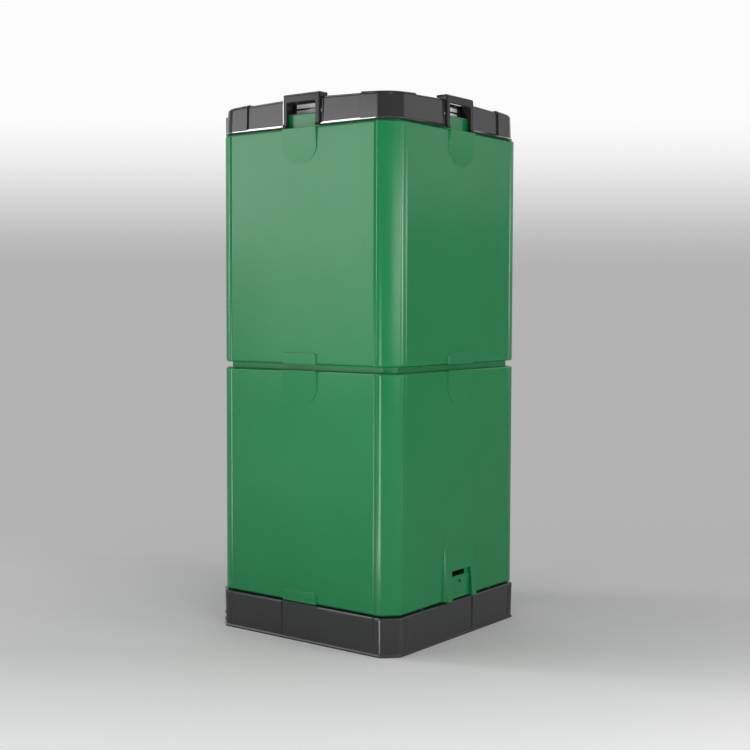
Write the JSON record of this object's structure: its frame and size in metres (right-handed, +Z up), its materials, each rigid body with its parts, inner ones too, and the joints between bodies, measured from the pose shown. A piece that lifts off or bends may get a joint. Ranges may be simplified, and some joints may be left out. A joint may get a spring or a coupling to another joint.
{
  "type": "hot composter",
  "caption": "Tall square insulated composter of stacked green modules on a black sump base, with a lift-off black lid held by swing latches and a vent hood at the foot.",
  "frame": {"origin": "floor under the middle of the body", "axes": "+Z up; -Y is the front; +X is the side with the vent hood"},
  "size_m": [0.539, 0.5555, 1.238],
  "materials": {
    "green_plastic": "satin moulded polyethylene",
    "black_plastic": "satin moulded polypropylene",
    "grey_plastic": "matte recycled plastic",
    "foam": "white bead foam",
    "seal_rubber": "soft black rubber",
    "steel": "zinc plated"
  },
  "bodies": {
    "body": {"air_duct": "black_plastic", "base_tray": "black_plastic", "core_cap": "grey_plastic", "core_foot": "grey_plastic", "core_joint": "grey_plastic", "core_lower": "grey_plastic", "core_upper": "grey_plastic", "drain_nut": "black_plastic", "drain_seal": "seal_rubber", "drain_spout": "black_plastic", "lower_insulation_front": "foam", "lower_insulation_left": "foam", "lower_insulation_rear": "foam", "lower_insulation_right": "foam", "lower_liner": "grey_plastic", "lower_ring": "black_plastic", "lower_ring_screws": "steel", "lower_shell": "green_plastic", "module_seal": "seal_rubber", "sump_grate": "grey_plastic", "upper_insulation_front": "foam", "upper_insulation_left": "foam", "upper_insulation_rear": "foam", "upper_insulation_right": "foam", "upper_liner": "grey_plastic", "upper_ring": "black_plastic", "upper_ring_screws": "steel", "upper_shell": "green_plastic"},
    "lid": {"lid_shell": "black_plastic", "lid_liner": "grey_plastic", "lid_screws": "steel", "lid_insulation": "foam", "lid_seal": "seal_rubber", "latch_pins": "steel"},
    "front_latch": {"latch_front": "black_plastic"},
    "right_latch": {"latch_right": "black_plastic"},
    "rear_latch": {"latch_rear": "black_plastic"},
    "left_latch": {"latch_left": "black_plastic"},
    "shutter": {"vent_shutter": "green_plastic", "vent_knob": "black_plastic"},
    "cap": {"drain_cap": "black_plastic", "drain_disc": "seal_rubber"}
  },
  "joints": [
    {"name": "lid_lift", "type": "slide", "parent": "body", "child": "lid", "axis": [0, 0, 1], "range_m": [0, 0.25]},
    {"name": "front_latch_swing", "type": "hinge", "parent": "lid", "child": "front_latch", "pos_m": [0, -0.243, 1.222], "axis": [-1, 0, 0], "range_deg": [0, 90]},
    {"name": "right_latch_swing", "type": "hinge", "parent": "lid", "child": "right_latch", "pos_m": [0.243, 0, 1.222], "axis": [0, -1, 0], "range_deg": [0, 90]},
    {"name": "rear_latch_swing", "type": "hinge", "parent": "lid", "child": "rear_latch", "pos_m": [0, 0.243, 1.222], "axis": [1, 0, 0], "range_deg": [0, 90]},
    {"name": "left_latch_swing", "type": "hinge", "parent": "lid", "child": "left_latch", "pos_m": [-0.243, 0, 1.222], "axis": [0, 1, 0], "range_deg": [0, 90]},
    {"name": "shutter_slide", "type": "slide", "parent": "body", "child": "shutter", "axis": [0, 0, 1], "range_m": [0, 0.012]},
    {"name": "drain_cap_turn", "type": "hinge", "parent": "body", "child": "cap", "pos_m": [0, 0.28, 0.026], "axis": [0, 1, 0], "range_deg": [0, 360]}
  ]
}
